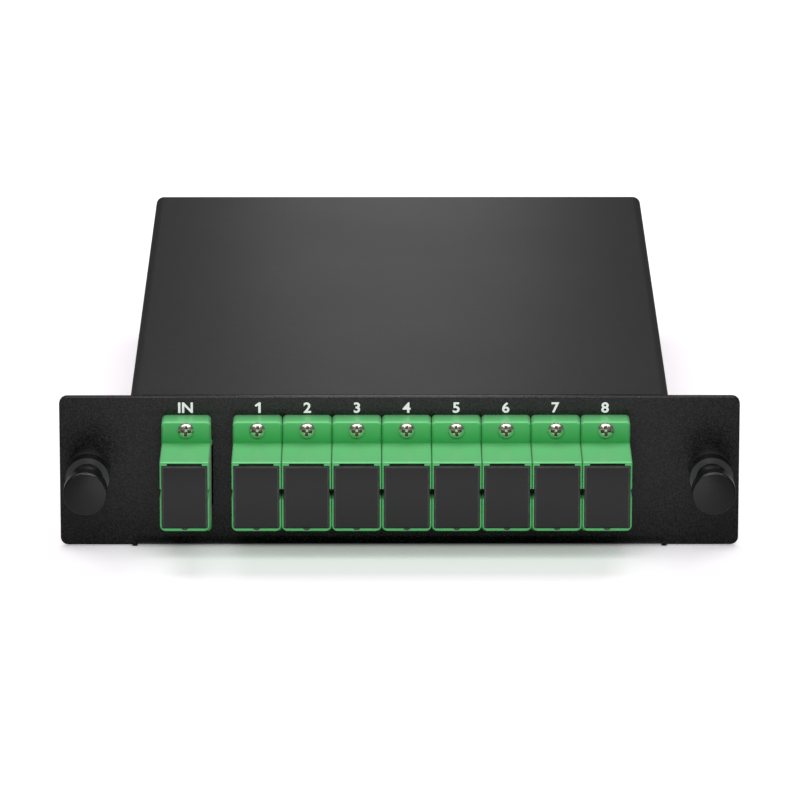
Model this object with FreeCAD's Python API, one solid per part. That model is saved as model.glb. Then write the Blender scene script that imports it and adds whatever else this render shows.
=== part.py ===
import FreeCAD, Part
import math
import os

# A 1 x 8 fibre splitter in a folded steel cassette with nine SC/APC ports.
# Millimetres. While a piece is built, x is across the panel, y runs from the
# panel's front face towards the back, and z is the height above the base.

V = FreeCAD.Vector
ALONG_X = V(1, 0, 0)
ALONG_Y = V(0, 1, 0)
ALONG_Z = V(0, 0, 1)
same_point = 1e-6              # points closer than this are one point
overcut = 1.0                  # how far a cutter runs past the face it cuts

# --- sheet-metal case -------------------------------------------------------
sheet = 1.2                    # steel thickness
panel_w = 129.2                # front panel with both ears
panel_h = 29.25
panel_corner_r = 1.5
ear_lift = 0.25                # lower edge of the ears above the base plane
case_w = 102.4
case_depth = 160.0             # panel front to rear wall
tray_bend_r = 0.8              # inside radius of the tray's bends
cover_bend_r = 0.4             # inside radius of the cover's bends
cover_gap = 0.1                # tray to cover, each side
panel_gap = 0.35               # panel to the cover's front edge
cover_lift = 0.3               # cover's lower edge above the base plane
rear_gap = 0.3                 # base plate to rear wall
side_flange_h = 11.0
side_flange_start = 6.0        # from the panel's front face
relief_w = 0.06                # bend relief beside the bottom bend
relief_over = 0.2              # relief past the end of the bend
nib_w = 0.95                   # stub of panel left beside the relief
notch_y = 0.6                  # relief in front of the side flanges
notch_x = 2.6
edge_round = 0.2               # broken edge of the powder-coated steel

# --- ports ------------------------------------------------------------------
port_count = 8
port_pitch = 9.415
first_port_x = -26.9
input_port_x = -40.4
window_h = 13.3
window_side = 4.65             # port axis to the window's left edge
window_side_key = 4.95         # port axis to its right edge, past the key rib

# --- SC/APC adapter housing -------------------------------------------------
flange_w = 9.3
flange_h = 21.6
flange_rise = 0.25             # flange's middle above the port axis
flange_t = 4.7                 # two halves
flange_r = 0.8
flange_edge = 0.3              # bevel round the front face
seam = 0.14                    # groove between the halves
front_w = 9.3
front_h = 13.55
front_len = 12.8
front_r_low = 1.1
front_r_high = 0.3
front_edge = 0.25              # rounded front rim
rear_w = 8.9
rear_h = 12.9
rear_len = 13.0
rear_r = 0.4
lip_side = 0.3                 # front rim beside, below and above the mouth
lip_low = 0.53
lip_high = 0.74
lip_keyway = 0.36              # front rim over the keyway
mouth_depth = 1.6
socket_w = 7.5
socket_h = 9.1
mouth_r_low = 0.35
mouth_r_high = 0.2
keyway_w = 6.3                 # slot over the socket, wider at its top
keyway_flare = 0.15
keyway_len = 9.0
pry_notch_fit = 0.08           # notch in the lower lip round the cap's bump
nail_notch_h = 2.0             # notch in each side of the rim, to grip the cap by
nail_notch_rise = 0.5          # its middle above the port axis
nail_notch_len = 5.0
key_rib_h = 1.1
key_rib_t = 0.35
key_rib_top = 6.2
key_rib_len = 6.0
adapter_screw_pitch = 18.3

# --- latch inserts and split sleeves ----------------------------------------
insert_fit = 0.05
insert_plate_w = 8.1
insert_plate_h = 10.9
insert_plate_t = 1.2
sleeve_r = 1.6
sleeve_bore_r = 1.26
sleeve_len = 11.4
sleeve_slit = 0.4
holder_fit = 0.05              # split sleeve in its holder
holder_wall = 0.75
holder_end = 0.7               # end wall that keeps the sleeve in
holder_mouth_fit = 0.15        # ferrule through the end wall
sleeve_play = 0.1              # sleeve to each end wall
hook_w = 3.0
hook_t = 0.65
hook_z = 2.85                  # port axis to the hook's inner face
hook_len = 7.4                 # from the plate
hook_nose = 0.5
hook_nose_len = 1.3

# --- dust caps --------------------------------------------------------------
cap_gap_side = 0.08            # cap plate to the mouth
cap_gap_low = 0.08
cap_h = 12.1
cap_proud = 0.15
cap_chamfer = 0.22
cap_plug_fit = 0.1             # plug to socket, each side
cap_plug_wall = 0.75
cap_plug_len = 9.0
cap_bump_r = 0.75
cap_bump_rise = 0.4            # bump's centre above the cap's lower edge
cap_floor = 0.8                # solid part of the plug behind the plate

# --- fasteners --------------------------------------------------------------
screw_r = 0.95
screw_head_r = 1.5
screw_head_h = 1.0
screw_crown = 0.45             # domed part of the head
screw_fit = 0.1                # screw to its holes
nut_sides = 6
nut_flats = 4.0
nut_t = 1.6
nut_fit = 0.03
screw_end = 0.6                # screw past its nut
cover_screw_r = 1.22
cover_screw_head_r = 2.35
cover_screw_head_h = 1.1
cover_screw_len = 4.0
cover_screw_fit = 0.05
cover_screw_sink = 0.05        # head below the cover's face
cover_screw_ys = (24.0, 136.0)
cover_screw_z = 7.0

# --- panel latches ----------------------------------------------------------
latch_along = 0.5896           # latch axis along its ear from the case, as a share of the ear
latch_rise = 0.22              # latch axis above the panel's middle
latch_hole_r = 2.5
grommet_fit = 0.05
grommet_flange_r = 4.1
grommet_flange_t = 2.7
grommet_reach = 7.6            # legs behind the panel's front face
grommet_leg_step = 0.3         # legs behind the panel are this much slimmer
grommet_slot = 0.5
grommet_slot_start = 1.8       # from the panel's front face
grommet_slot_turns = (-45, 45)  # from upright, in degrees
grommet_tip = 0.6
grommet_edge = 0.3
plunger_r = 4.12
plunger_stem_r = 1.25
plunger_fit = 0.06             # stem in grommet
plunger_gap = 0.2              # plunger skirt to grommet
plunger_skirt = 3.4
plunger_root_r = 3.0
plunger_neck_r = 2.5
plunger_neck = 7.15            # length of the waist in front of the skirt
plunger_waist = 0.42           # where the neck is thinnest, as a share of its length
plunger_rim = 2.75
plunger_rim_r = 0.35
plunger_dome = 0.25
plunger_tip = 9.0              # stem behind the panel's front face
plunger_tip_r = 0.4

# --- pigtail plugs ----------------------------------------------------------
plug_fit = 0.06                # plug to socket, each side
plug_start = 3.0               # from the adapter's middle plane
plug_len = 24.0
plug_hollow_len = 7.2
plug_wall = 0.75
plug_edge_r = 0.5
plug_groove = 0.9
plug_groove_depth = 0.35
plug_groove_pitch = 2.0
plug_groove_count = 4
plug_groove_start = 16.5       # from the plug's front end
ferrule_r = 1.249
ferrule_gap = 0.1              # ferrule to the adapter's middle plane
boot_len = 11.0
boot_r_root = 2.6
boot_r_end = 1.2

# --- splitter module and fibres ---------------------------------------------
module_len = 60.0
module_w = 8.4
module_h = 4.0
module_wall = 0.35
module_r = 0.6
module_x = 6.0
core_inset = 1.0               # core behind each end of the tube
core_fit = 0.02
pad_t = 1.0
pad_w = 7.0
pad_len = 44.0
fibre_r = 0.45
fibre_pitch = 0.96             # fibres side by side at the module
fibre_bend_r = 15.0
fibre_stagger = 1.1            # each fibre turns this much later than its outer neighbour
fibre_turn = 75.0              # steepest slant of an output fibre, degrees
fibre_lead = 1.5               # straight fibre in front of the module
rear_room = 4.0                # input fibre's turn to the rear wall
input_bend_r = 18.0
input_run = 12.0               # straight fibre behind the input plug
input_lead = 3.0               # straight fibre behind the module
input_turn = 75.0
saddle_w = 6.0
saddle_len = 5.0
saddle_fit = 0.05
saddle_wall = 0.8
saddle_base = 1.0
saddle_setback = 15.0          # from each end of the module

# --- places worked out from the sizes ---------------------------------------
panel_z0 = ear_lift
panel_z1 = panel_z0 + panel_h
panel_mid = (panel_z0 + panel_z1) / 2
port_z = panel_mid             # the ports' axes
bend_out_r = tray_bend_r + sheet
tray_half = case_w / 2 - sheet - cover_gap
base_end = case_depth - sheet - rear_gap
cover_y0 = sheet + panel_gap
ear_w = (panel_w - case_w) / 2
latch_x = case_w / 2 + ear_w * latch_along
latch_z = panel_mid + latch_rise
flange_z = port_z + flange_rise
mid_y = -flange_t / 2
front_y = -flange_t - front_len
mouth_low = -front_h / 2 + lip_low
mouth_high = front_h / 2 - lip_high
cap_low = mouth_low + cap_gap_low
plate_back = front_y + mouth_depth - cap_gap_side
port_xs = [first_port_x + port_pitch * n for n in range(port_count)]
ports = dict([("in", input_port_x)] + [(str(n + 1), x) for n, x in enumerate(port_xs)])
screw_zs = (flange_z - adapter_screw_pitch / 2, flange_z + adapter_screw_pitch / 2)
nut_y = sheet
holder_r = sleeve_r + holder_fit + holder_wall
holder_len = sleeve_len / 2 + sleeve_play + holder_end
plug_y = mid_y + plug_start
plug_end = plug_y + plug_len + boot_len
skirt_y = -grommet_flange_t - plunger_gap
module_z = sheet + pad_t + module_h / 2
turn_y = case_depth - sheet - rear_room - input_bend_r
module_rear = turn_y - input_lead
module_front = module_rear - module_len
front_reach = -front_y + cap_proud
frame_shift = V(0, (front_reach - case_depth) / 2, 0)


# --- drawing helpers --------------------------------------------------------
def box(x0, x1, y0, y1, z0, z1):
    return Part.makeBox(x1 - x0, y1 - y0, z1 - z0, V(x0, y0, z0))


def rod(x, z, r, y0, y1):
    """Round bar along y."""
    return Part.makeCylinder(r, y1 - y0, V(x, y0, z), ALONG_Y)


def joined(pieces):
    """One solid from pieces that meet."""
    return pieces[0].fuse(pieces[1:]).removeSplitter()


def drawn(steps):
    """Edges from point to point; a pair is the middle and the end of an arc."""
    edges = []
    here = steps[0]
    for step in steps[1:]:
        if isinstance(step, tuple):
            edges.append(Part.Arc(here, *step).toShape())
            here = step[1]
        elif here.distanceToPoint(step) > same_point:
            edges.append(Part.LineSegment(here, step).toShape())
            here = step
    return edges


def outlined(steps):
    """Flat face inside a closed outline."""
    return Part.Face(Part.Wire(drawn(steps + [steps[0]])))


def bend(center, r, first, last, across, up):
    """Middle and end of an arc between two angles in degrees, as a step of an outline."""
    def at(angle):
        turn = math.radians(angle)
        return center + across * (r * math.cos(turn)) + up * (r * math.sin(turn))
    return at((first + last) / 2), at(last)


def rounded_plate(x0, x1, y0, y1, z0, z1, r_low, r_high):
    """Plate facing y, with one radius on its lower corners and one on its upper ones."""
    def corner(x, z, r, first):
        return bend(V(x, y0, z), r, first, first + 90, ALONG_X, ALONG_Z)
    face = outlined([
        V(x0 + r_low, y0, z0),
        V(x1 - r_low, y0, z0),
        corner(x1 - r_low, z0 + r_low, r_low, -90),
        V(x1, y0, z1 - r_high),
        corner(x1 - r_high, z1 - r_high, r_high, 0),
        V(x0 + r_high, y0, z1),
        corner(x0 + r_high, z1 - r_high, r_high, 90),
        V(x0, y0, z0 + r_low),
        corner(x0 + r_low, z0 + r_low, r_low, 180),
    ])
    return face.extrude(V(0, y1 - y0, 0))


def centred_plate(w, h, y0, y1, r_low, r_high):
    """Rounded plate on the port axis at x 0."""
    return rounded_plate(-w / 2, w / 2, y0, y1, port_z - h / 2, port_z + h / 2, r_low, r_high)


def centred_box(w, h, y0, y1):
    return box(-w / 2, w / 2, y0, y1, port_z - h / 2, port_z + h / 2)


def dome(r, y, height):
    """Arc step of a turned outline: from radius r at y to the axis, height towards -y."""
    sphere = (r * r + height * height) / (2 * height)
    center = V(0, y - height + sphere, 0)
    half = math.degrees(math.asin(r / sphere))
    return bend(center, sphere, half - 90, -90, ALONG_X, ALONG_Y)


def turned(steps, x, z):
    """Solid turned about the y axis through x, z, from an outline of radius and y."""
    return outlined(steps).revolve(V(0, 0, 0), ALONG_Y, 360).translated(V(x, 0, z))


def at_face(shape, y):
    """Edges that lie in the plane at y."""
    return [e for e in shape.Edges
            if abs(e.BoundBox.YMin - y) < same_point and abs(e.BoundBox.YMax - y) < same_point]


def both_sides(shape):
    """A piece and its mirror image across the middle of the panel."""
    return [shape, shape.mirror(V(0, 0, 0), ALONG_X)]


def save(name, shape):
    """Write one piece in the part's frame: base plane at z 0, centred on its outer box."""
    shape.translated(frame_shift).exportStep("parts/" + name + ".step")


# --- folded case ------------------------------------------------------------
def bent_front():
    """Lower strip of the panel, the bottom bend and the front of the base."""
    x = -tray_half
    top = bend_out_r + relief_over
    end = side_flange_start
    center = V(x, bend_out_r, bend_out_r)
    profile = outlined([
        V(x, end, 0),
        V(x, end, sheet),
        V(x, bend_out_r, sheet),
        bend(center, tray_bend_r, 270, 180, ALONG_Y, ALONG_Z),
        V(x, sheet, top),
        V(x, 0, top),
        V(x, 0, bend_out_r),
        bend(center, bend_out_r, 180, 270, ALONG_Y, ALONG_Z),
    ])
    strip = profile.extrude(V(2 * tray_half, 0, 0))
    notch = box(tray_half - notch_x, tray_half + overcut, end - notch_y, end, -overcut, sheet + overcut)
    return strip.cut(both_sides(notch))


def base_with_flanges():
    """Base plate folded up along both sides."""
    y = side_flange_start
    half = tray_half
    flat = half - bend_out_r
    right = V(flat, y, bend_out_r)
    left = V(-flat, y, bend_out_r)
    profile = outlined([
        V(-flat, y, 0),
        V(flat, y, 0),
        bend(right, bend_out_r, 270, 360, ALONG_X, ALONG_Z),
        V(half, y, side_flange_h),
        V(half - sheet, y, side_flange_h),
        V(half - sheet, y, bend_out_r),
        bend(right, tray_bend_r, 360, 270, ALONG_X, ALONG_Z),
        V(-flat, y, sheet),
        bend(left, tray_bend_r, 270, 180, ALONG_X, ALONG_Z),
        V(sheet - half, y, side_flange_h),
        V(-half, y, side_flange_h),
        V(-half, y, bend_out_r),
        bend(left, bend_out_r, 180, 270, ALONG_X, ALONG_Z),
    ])
    return profile.extrude(V(0, base_end - y, 0))


def panel_blank():
    """Panel with its ears, open where the bottom bend starts, and the stubs beside it."""
    half = panel_w / 2
    r = panel_corner_r
    plate = rounded_plate(-half, half, 0, sheet, panel_z0, panel_z1, r, r)
    plate = plate.makeFillet(edge_round, at_face(plate, 0))
    open_half = tray_half + relief_w
    opening = box(-open_half, open_half, -overcut, sheet + overcut, -overcut, bend_out_r + relief_over)
    nib = rounded_plate(open_half, open_half + nib_w, 0, sheet, 0, bend_out_r, edge_round, edge_round)
    return joined([plate.cut(opening)] + both_sides(nib))


def window(x_first, x_last):
    """Cutter for the window of one port, or of a row of ports side by side."""
    low = port_z - window_h / 2
    return box(x_first - window_side, x_last + window_side_key,
               -overcut, sheet + overcut, low, low + window_h)


def front_tray():
    tray = joined([panel_blank(), bent_front(), base_with_flanges()])
    cutters = [window(input_port_x, input_port_x), window(port_xs[0], port_xs[-1])]
    for x in ports.values():
        for z in screw_zs:
            cutters.append(rod(x, z, screw_r + screw_fit, -overcut, sheet + overcut))
    for x in (-latch_x, latch_x):
        cutters.append(rod(x, latch_z, latch_hole_r, -overcut, sheet + overcut))
    for y in cover_screw_ys:
        hole = Part.makeCylinder(cover_screw_r + cover_screw_fit, case_w,
                                 V(-case_w / 2, y, cover_screw_z), ALONG_X)
        cutters.append(hole)
    return tray.cut(cutters)


def cover_block(inset, r, y0, z0):
    """Block with the cover's bends as rounded edges, inset from its outer faces."""
    side = case_w / 2 - inset
    rear = case_depth - inset
    top = panel_z1 - inset
    block = box(-side, side, y0, rear, z0, top)

    def bent(edge):
        middle = edge.CenterOfMass
        on_rear = abs(middle.y - rear) < same_point
        on_top = abs(middle.z - top) < same_point
        on_side = abs(abs(middle.x) - side) < same_point
        return on_rear + on_top + on_side == 2
    return block.makeFillet(r, [e for e in block.Edges if bent(e)])


def cover_screw_tool(grow, sink):
    """A countersunk screw in the right-hand wall, grown all round by the same amount."""
    face = case_w / 2 - sink
    neck = face - cover_screw_head_h
    end = face - cover_screw_len
    tool = []
    for y in cover_screw_ys:
        cone = Part.makeCone(cover_screw_r + grow, cover_screw_head_r + grow, cover_screw_head_h,
                             V(neck, y, cover_screw_z), ALONG_X)
        shank = Part.makeCylinder(cover_screw_r + grow, neck - end, V(end, y, cover_screw_z), ALONG_X)
        tool.append(cone.fuse(shank).removeSplitter())
    return tool


def top_cover():
    outer = cover_block(0, cover_bend_r + sheet, cover_y0, cover_lift)
    inner = cover_block(sheet, cover_bend_r, cover_y0 - overcut, cover_lift - overcut)
    cover = outer.cut(inner)
    for tool in cover_screw_tool(cover_screw_fit + cover_screw_sink, 0):
        cover = cover.cut(both_sides(tool))
    return cover


def cover_screws():
    screws = []
    for tool in cover_screw_tool(0, cover_screw_sink):
        screws += both_sides(tool)
    return Part.makeCompound(screws)


# --- panel latches ----------------------------------------------------------
def latch_grommet(x):
    """Flanged bush with four split legs."""
    bore = plunger_stem_r + plunger_fit
    barrel = latch_hole_r - grommet_fit
    leg = barrel - grommet_leg_step
    front = -grommet_flange_t
    r = grommet_flange_r
    edge = V(r - grommet_edge, front + grommet_edge, 0)
    bush = turned([
        V(bore, front, 0),
        V(r - grommet_edge, front, 0),
        bend(edge, grommet_edge, -90, 0, ALONG_X, ALONG_Y),
        V(r, 0, 0),
        V(barrel, 0, 0),
        V(barrel, sheet, 0),
        V(leg, sheet, 0),
        V(leg, grommet_reach - grommet_tip, 0),
        V(leg - grommet_tip, grommet_reach, 0),
        V(bore, grommet_reach, 0),
    ], x, latch_z)
    half = grommet_slot / 2
    end = grommet_reach + overcut
    slit = box(x - half, x + half, grommet_slot_start, end, latch_z - r, latch_z + r)
    return bush.cut([slit.rotated(V(x, 0, latch_z), ALONG_Y, turn) for turn in grommet_slot_turns])


def latch_plunger(x):
    """Push-pull knob: round skirt, waisted neck, domed head and the stem behind them."""
    skirt_end = skirt_y - plunger_skirt
    head = skirt_end - plunger_neck
    rim_end = head - plunger_rim
    waist = V(plunger_neck_r, skirt_end - plunger_neck * plunger_waist, 0)
    rim = V(plunger_r - plunger_rim_r, rim_end, 0)
    return turned([
        V(0, plunger_tip, 0),
        V(plunger_stem_r - plunger_tip_r, plunger_tip, 0),
        V(plunger_stem_r, plunger_tip - plunger_tip_r, 0),
        V(plunger_stem_r, skirt_y, 0),
        V(plunger_r, skirt_y, 0),
        V(plunger_r, skirt_end, 0),
        V(plunger_root_r, skirt_end, 0),
        (waist, V(plunger_r, head, 0)),
        V(plunger_r, rim_end, 0),
        bend(rim, plunger_rim_r, 0, -90, ALONG_X, ALONG_Y),
        dome(plunger_r - plunger_rim_r, rim_end - plunger_rim_r, plunger_dome),
    ], x, latch_z)


# --- adapter housing --------------------------------------------------------
def flange():
    """Flange with the groove where its two halves are welded."""
    plate = centred_plate(flange_w, flange_h, -flange_t, 0, flange_r, flange_r)
    plate = plate.makeChamfer(flange_edge, at_face(plate, -flange_t))
    y0 = mid_y - seam / 2
    y1 = mid_y + seam / 2
    wide = centred_plate(flange_w + overcut, flange_h + overcut, y0, y1, flange_r, flange_r)
    core = centred_plate(flange_w - seam, flange_h - seam, y0, y1, flange_r, flange_r)
    return plate.cut(wide.cut(core)).translated(ALONG_Z * flange_rise)


def keyway():
    """Cutter for the slot over the socket, which widens upwards."""
    low = port_z + socket_h / 2 - overcut
    high = port_z + front_h / 2 - lip_keyway
    half = keyway_w / 2
    face = outlined([
        V(-half, front_y, low),
        V(half, front_y, low),
        V(half + keyway_flare, front_y, high),
        V(-half - keyway_flare, front_y, high),
    ])
    return face.extrude(V(0, keyway_len, 0))


def cap_bump(r, y0, y1):
    return rod(0, port_z + cap_low + cap_bump_rise, r, y0, y1)


def housing_cutters():
    inner = insert_plate_t + insert_fit
    y_mouth = front_y + mouth_depth
    notch_low = port_z + nail_notch_rise - nail_notch_h / 2
    cutters = [
        rounded_plate(lip_side - front_w / 2, front_w / 2 - lip_side, front_y - overcut, y_mouth,
                      port_z + mouth_low, port_z + mouth_high, mouth_r_low, mouth_r_high),
        centred_box(socket_w, socket_h, front_y, mid_y - inner),
        centred_box(socket_w, socket_h, mid_y + inner, rear_len + overcut),
        centred_box(insert_plate_w + 2 * insert_fit, insert_plate_h + 2 * insert_fit,
                    mid_y - inner, mid_y + inner),
        keyway(),
        cap_bump(cap_bump_r + pry_notch_fit, front_y - overcut, y_mouth),
        box(-front_w, front_w, front_y - overcut, front_y + nail_notch_len,
            notch_low, notch_low + nail_notch_h),
    ]
    for z in screw_zs:
        cutters.append(rod(0, z, screw_r + screw_fit, -flange_t - overcut, overcut))
    return cutters


def adapter_housing():
    front = centred_plate(front_w, front_h, front_y, mid_y, front_r_low, front_r_high)
    front = front.makeFillet(front_edge, at_face(front, front_y))
    rear = centred_plate(rear_w, rear_h, mid_y, rear_len, rear_r, rear_r)
    rib_top = port_z + key_rib_top
    rib = box(0, rear_w / 2 + key_rib_t, 0, key_rib_len, rib_top - key_rib_h, rib_top)
    return joined([flange(), front, rear, rib]).cut(housing_cutters())


# --- latch inserts and split sleeve -----------------------------------------
def hook():
    """Upper hook of the front insert: a springy arm with a ramped nose."""
    root = mid_y - insert_plate_t
    tip = root - hook_len
    z0 = port_z + hook_z
    z1 = z0 + hook_t
    x = -hook_w / 2
    face = outlined([
        V(x, root, z0),
        V(x, root, z1),
        V(x, tip, z1),
        V(x, tip, z0),
        V(x, tip + hook_nose_len, z0 - hook_nose),
        V(x, tip + hook_nose_len, z0),
    ])
    return face.extrude(V(hook_w, 0, 0))


def front_insert():
    plate = centred_box(insert_plate_w, insert_plate_h, mid_y - insert_plate_t, mid_y)
    tube = rod(0, port_z, holder_r, mid_y - holder_len, mid_y)
    upper = hook()
    lower = upper.mirror(V(0, 0, port_z), ALONG_Z)
    bore = rod(0, port_z, sleeve_r + holder_fit, mid_y - holder_len + holder_end, mid_y + overcut)
    mouth = rod(0, port_z, ferrule_r + holder_mouth_fit, mid_y - holder_len - overcut, mid_y)
    return joined([plate, tube, upper, lower]).cut([bore, mouth])


def latch_inserts():
    """The two halves that meet in the middle of the housing."""
    front = front_insert()
    return Part.makeCompound([front, front.mirror(V(0, mid_y, 0), ALONG_Y)])


def split_sleeve():
    y0 = mid_y - sleeve_len / 2
    y1 = mid_y + sleeve_len / 2
    tube = rod(0, port_z, sleeve_r, y0, y1)
    half = sleeve_slit / 2
    slit = box(-half, half, y0 - overcut, y1 + overcut, port_z, port_z + sleeve_r + overcut)
    return tube.cut([rod(0, port_z, sleeve_bore_r, y0 - overcut, y1 + overcut), slit])


# --- dust cap ---------------------------------------------------------------
def dust_cap():
    face_y = front_y - cap_proud
    half = front_w / 2 - lip_side - cap_gap_side
    low = port_z + cap_low
    r_low = mouth_r_low - cap_gap_side
    plate = rounded_plate(-half, half, face_y, plate_back, low, low + cap_h, r_low, mouth_r_high)
    plate = plate.makeChamfer(cap_chamfer, at_face(plate, face_y))
    plug_w = socket_w - 2 * cap_plug_fit
    plug_h = socket_h - 2 * cap_plug_fit
    plug = centred_box(plug_w, plug_h, plate_back, plate_back + cap_plug_len)
    bump = cap_bump(cap_bump_r, face_y + cap_chamfer, plate_back)
    hollow = centred_box(plug_w - 2 * cap_plug_wall, plug_h - 2 * cap_plug_wall,
                         plate_back + cap_floor, plate_back + cap_plug_len + overcut)
    return joined([plate, plug, bump]).cut(hollow)


# --- screws and nuts --------------------------------------------------------
def adapter_screw(x, z):
    under_head = -flange_t
    edge = under_head - screw_head_h + screw_crown
    end = nut_y + nut_t + screw_end
    return turned([
        V(0, end, 0),
        V(screw_r, end, 0),
        V(screw_r, under_head, 0),
        V(screw_head_r, under_head, 0),
        V(screw_head_r, edge, 0),
        dome(screw_head_r, edge, screw_crown),
    ], x, z)


def hex_nut(x, z):
    step = 2 * math.pi / nut_sides
    corner_r = nut_flats / 2 / math.cos(step / 2)
    steps = []
    for n in range(nut_sides):
        turn = step * n
        steps.append(V(x + corner_r * math.cos(turn), nut_y, z + corner_r * math.sin(turn)))
    hexagon = outlined(steps).extrude(V(0, nut_t, 0))
    return hexagon.cut(rod(x, z, screw_r + nut_fit, nut_y - overcut, nut_y + nut_t + overcut))


def at_all_screws(make):
    """One fastener over and one under each port."""
    return Part.makeCompound([make(x, z) for x in ports.values() for z in screw_zs])


# --- pigtail plug -----------------------------------------------------------
def plug_boot():
    y = plug_y + plug_len
    return turned([
        V(0, y, 0),
        V(boot_r_root, y, 0),
        V(boot_r_end, y + boot_len, 0),
        V(0, y + boot_len, 0),
    ], 0, port_z)


def plug_grooves():
    """Cutters for the finger grooves on both sides of the grip."""
    side = socket_w / 2 - plug_fit
    cutters = []
    for n in range(plug_groove_count):
        y = plug_y + plug_groove_start + n * plug_groove_pitch
        groove = box(side - plug_groove_depth, side + overcut, y, y + plug_groove,
                     port_z - socket_h, port_z + socket_h)
        cutters += both_sides(groove)
    return cutters


def pigtail_plug():
    w = socket_w - 2 * plug_fit
    h = socket_h - 2 * plug_fit
    grip = centred_plate(w, h, plug_y, plug_y + plug_len, plug_edge_r, plug_edge_r)
    hollow_end = plug_y + plug_hollow_len
    hollow = centred_box(w - 2 * plug_wall, h - 2 * plug_wall, plug_y - overcut, hollow_end)
    ferrule = rod(0, port_z, ferrule_r, mid_y + ferrule_gap, hollow_end)
    grip = grip.cut([hollow] + plug_grooves())
    return joined([grip, ferrule, plug_boot()])


# --- splitter module and fibres ---------------------------------------------
def module_block(inset, y0, y1, r):
    return rounded_plate(module_x - module_w / 2 + inset, module_x + module_w / 2 - inset, y0, y1,
                         module_z - module_h / 2 + inset, module_z + module_h / 2 - inset, r, r)


def splitter_case():
    """Steel tube, open at both ends."""
    inner_r = module_r - module_wall
    hollow = module_block(module_wall, module_front - overcut, module_rear + overcut, inner_r)
    return module_block(0, module_front, module_rear, module_r).cut(hollow)


def splitter_core():
    inset = module_wall + core_fit
    return module_block(inset, module_front + core_inset, module_rear - core_inset, module_r - inset)


def splitter_pad():
    middle = (module_front + module_rear) / 2
    return box(module_x - pad_w / 2, module_x + pad_w / 2,
               middle - pad_len / 2, middle + pad_len / 2, sheet, sheet + pad_t)


def shifted_run(start, end, ahead, lead, r, steepest):
    """Points of a run that shifts sideways between two parallel directions.

    It goes straight for the lead, turns by two arcs with a slanted line between
    them where the shift needs one, and ends straight.
    """
    side = end - start - ahead * (end - start).dot(ahead)
    shift = side.Length
    side.normalize()
    turn = math.radians(steepest)
    by_arcs = 2 * r * (1 - math.cos(turn))
    slant = 0.0
    if shift > by_arcs:
        slant = (shift - by_arcs) / math.sin(turn)
    else:
        turn = math.acos(1 - shift / (2 * r))
    angle = math.degrees(turn)
    leave = start + ahead * lead
    away = bend(leave + side * r, r, -90, angle - 90, ahead, side)
    back_start = away[1] + (ahead * math.cos(turn) + side * math.sin(turn)) * slant
    back_center = back_start + ahead * (r * math.sin(turn)) - side * (r * math.cos(turn))
    back = bend(back_center, r, angle + 90, 90, ahead * 1.0, side)
    return [start, leave, away, back_start, back, end]


def fibre(steps):
    """Buffered fibre swept along straight runs and tangent arcs."""
    path = Part.Wire(drawn(steps))
    first = path.Edges[0]
    heading = first.tangentAt(first.FirstParameter)
    ring = Part.Wire(Part.makeCircle(fibre_r, steps[0], heading))
    return path.makePipeShell([ring], True, False)


def output_fibre(n):
    """Fibre from the module's front to output port n, counted from 0."""
    x = module_x + (n - (port_count - 1) / 2) * fibre_pitch
    start = V(x, module_front + core_inset, module_z)
    end = V(port_xs[n], plug_end, port_z)
    from_outside = min(n, port_count - 1 - n)
    lead = core_inset + fibre_lead + fibre_stagger * from_outside
    return fibre(shifted_run(start, end, -ALONG_Y, lead, fibre_bend_r, fibre_turn))


def input_fibre():
    """Fibre from the input port along the left side, round behind the module and into it."""
    x = module_x - 2 * input_bend_r
    start = V(input_port_x, plug_end, port_z)
    turn_start = V(x, turn_y, module_z)
    run = shifted_run(start, turn_start, ALONG_Y, input_run, input_bend_r, input_turn)
    center = V(module_x - input_bend_r, turn_y, module_z)
    half_turn = bend(center, input_bend_r, 180, 0, ALONG_X, ALONG_Y)
    return fibre(run + [half_turn, V(module_x, module_rear - core_inset, module_z)])


def fibre_saddle(y):
    """Stick-on saddle that holds the input fibre down."""
    x = module_x - 2 * input_bend_r
    r = fibre_r + saddle_fit + saddle_wall
    y1 = y + saddle_len
    foot = box(x - saddle_w / 2, x + saddle_w / 2, y, y1, sheet, sheet + saddle_base)
    post = box(x - r, x + r, y, y1, sheet, module_z)
    ring = rod(x, module_z, r, y, y1)
    hole = rod(x, module_z, fibre_r + saddle_fit, y - overcut, y1 + overcut)
    return joined([foot, post, ring]).cut(hole)


def fibre_saddles():
    ys = (module_front + saddle_setback, module_rear - saddle_setback - saddle_len)
    return Part.makeCompound([fibre_saddle(y) for y in ys])


# --- the whole cassette -----------------------------------------------------
def save_ports():
    """The same pieces at every port."""
    port_pieces = {
        "adapter": adapter_housing(),
        "latch_inserts": latch_inserts(),
        "dust_cap": dust_cap(),
        "pigtail_plug": pigtail_plug(),
    }
    for port, x in ports.items():
        for name, piece in port_pieces.items():
            save(name + "_" + port, piece.translated(V(x, 0, 0)))
    sleeve = split_sleeve()
    save("split_sleeves", Part.makeCompound([sleeve.translated(V(x, 0, 0)) for x in ports.values()]))


def main():
    os.makedirs("parts", exist_ok=True)
    save("front_tray", front_tray())
    save("top_cover", top_cover())
    save("cover_screws", cover_screws())
    for side, x in (("left", -latch_x), ("right", latch_x)):
        save("latch_grommet_" + side, latch_grommet(x))
        save("latch_plunger_" + side, latch_plunger(x))
    save_ports()
    save("adapter_screws", at_all_screws(adapter_screw))
    save("adapter_nuts", at_all_screws(hex_nut))
    save("splitter_case", splitter_case())
    save("splitter_core", splitter_core())
    save("splitter_pad", splitter_pad())
    save("fibre_saddles", fibre_saddles())
    save("input_fibre", input_fibre())
    for n in range(port_count):
        save("output_fibre_" + str(n + 1), output_fibre(n))


main()
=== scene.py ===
import math
import random

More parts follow.
